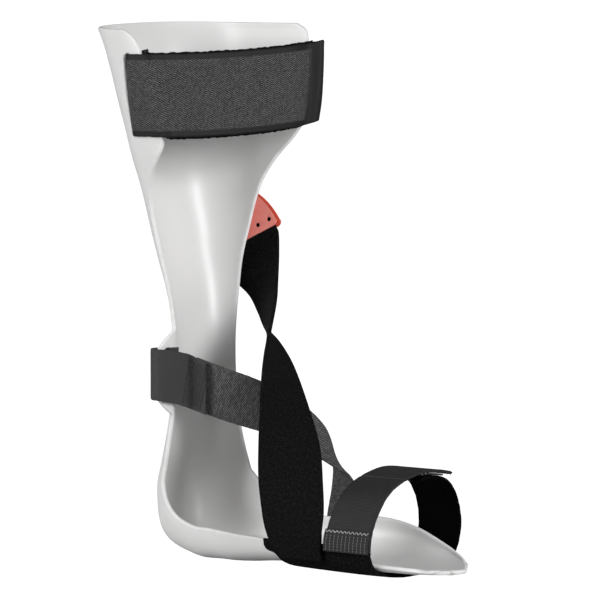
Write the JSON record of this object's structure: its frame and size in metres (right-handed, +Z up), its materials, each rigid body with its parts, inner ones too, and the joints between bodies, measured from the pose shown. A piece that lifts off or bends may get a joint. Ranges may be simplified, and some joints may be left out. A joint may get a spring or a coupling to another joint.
{
  "type": "ankle-foot orthosis",
  "caption": "Right drop-foot splint: a thin white leg-and-sole shell with calf, ankle and forefoot straps and an elastic lift band hung from a swivelling clip.",
  "frame": {"origin": "middle of the flat pad under the heel, on the floor", "axes": "+X to the toes, +Y to the inner (big toe) side of the right foot, +Z up the leg"},
  "size_m": [0.2926, 0.1292, 0.3729],
  "materials": {
    "shell": "satin",
    "webbing": "woven",
    "plush": "brushed elastic",
    "hook": "hook tape",
    "clip": "moulded"
  },
  "bodies": {
    "foot": {"foot_shell": "shell", "ankle_anchor_loop": "webbing", "ankle_strap_band": "webbing", "sole_sling": "plush", "forefoot_near_strap": "webbing", "forefoot_far_strap": "webbing", "forefoot_join_patch": "webbing", "lift_band_lower": "plush"},
    "leg": {"leg_shell": "shell", "calf_strap_band": "webbing", "calf_strap_lining": "plush", "calf_hook_patch": "hook", "clip_stud": "clip", "clip_stud_cap": "clip"},
    "clip": {"clip_inner_plate": "clip", "clip_outer_plate": "clip", "lift_band_upper": "plush"},
    "calf_tab": {"calf_strap_tab": "webbing"},
    "forefoot_flap": {"forefoot_flap": "webbing", "forefoot_hook_patch": "hook"}
  },
  "joints": [
    {"name": "ankle_flex", "type": "hinge", "parent": "foot", "child": "leg", "pos_m": [-0.03509, 0, 0.172], "axis": [0, 1, 0], "range_deg": [-10, 12], "stiffness_Nm_per_rad": 20, "deforming": ["lift_band_lower"]},
    {"name": "clip_swivel", "type": "hinge", "parent": "leg", "child": "clip", "pos_m": [-0.03405, 0.04462, 0.23387], "axis": [-0.2812, 0.9517, -0.1229], "range_deg": [-10, 10]},
    {"name": "calf_tab_peel", "type": "hinge", "parent": "leg", "child": "calf_tab", "pos_m": [-0.0008, 0.06416, 0.33], "axis": [0, -0.1007, -0.9949], "range_deg": [0, 40]},
    {"name": "forefoot_flap_peel", "type": "hinge", "parent": "foot", "child": "forefoot_flap", "pos_m": [0.133, -0.007, 0.0657], "axis": [1, 0, 0], "range_deg": [0, 35]}
  ]
}
